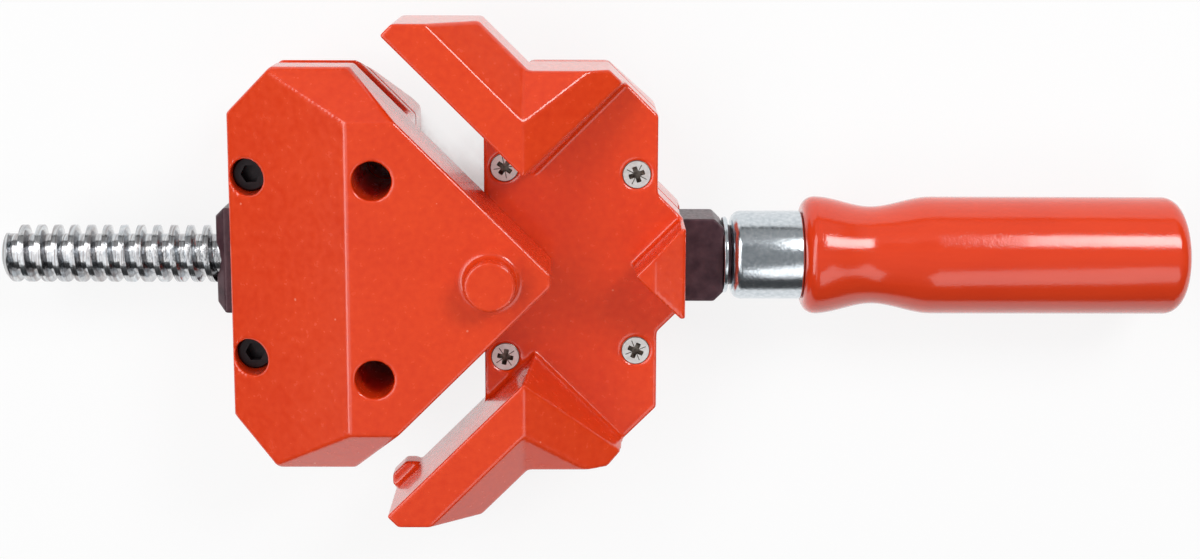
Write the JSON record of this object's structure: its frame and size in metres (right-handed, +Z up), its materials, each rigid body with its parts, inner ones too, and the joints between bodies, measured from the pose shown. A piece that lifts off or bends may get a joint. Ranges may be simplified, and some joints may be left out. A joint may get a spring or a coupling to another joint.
{
  "type": "corner clamp",
  "caption": "Corner clamp with two fixed arms at right angles, a moving V jaw on a swivelling trapezoidal spindle, and a turned wooden handle, for mitred frames and T joints.",
  "frame": {"origin": "on the bench plane, below the line where the two fixed clamping faces would meet", "axes": "+X along the spindle towards the handle, +Z up from the bench, +Y to the left seen from the handle's opposite end"},
  "size_m": [0.2837, 0.1168, 0.0507],
  "materials": {
    "casting": "powder coat, fine orange peel",
    "plated_screw": "zinc plated",
    "black_steel": "black oxide",
    "plated_steel": "zinc plated, turned",
    "plated_ferrule": "bright zinc plated",
    "handle_wood": "clear red lacquer, glossy",
    "black_screw": "black oxide, satin"
  },
  "bodies": {
    "body": {"front_body": "casting", "rear_body": "casting", "body_screw_1": "plated_screw", "body_screw_2": "plated_screw", "body_screw_3": "plated_screw", "body_screw_4": "plated_screw"},
    "bearing": {"bearing_block": "black_steel"},
    "spindle": {"spindle": "plated_steel", "thrust_washer": "plated_steel", "retaining_ring": "black_steel", "ferrule": "plated_ferrule", "handle": "handle_wood"},
    "nut": {"spindle_nut": "black_steel"},
    "jaw": {"front_jaw": "casting", "rear_jaw": "casting", "jaw_screw_1": "black_screw", "jaw_screw_2": "black_screw"}
  },
  "joints": [
    {"name": "spindle_swivel", "type": "hinge", "parent": "body", "child": "bearing", "pos_m": [0.008, 0, 0.015], "axis": [0, 0, 1], "range_deg": [-2.5, 2.5]},
    {"name": "spindle_turn", "type": "hinge", "parent": "bearing", "child": "spindle", "pos_m": [0, 0, 0.015], "axis": [1, 0, 0], "range_deg": [-1080, 2880]},
    {"name": "jaw_travel", "type": "slide", "parent": "bearing", "child": "nut", "axis": [-1, 0, 0], "range_m": [-0.012, 0.032]},
    {"name": "jaw_swivel", "type": "hinge", "parent": "nut", "child": "jaw", "pos_m": [-0.086, 0, 0.015], "axis": [0, 0, 1], "range_deg": [-2.5, 2.5]}
  ],
  "couplings": [
    {"joint": "spindle_turn", "follows": "jaw_travel", "rad_per_m": 1570.8},
    {"joint": "jaw_swivel", "follows": "spindle_swivel", "ratio": -1}
  ]
}
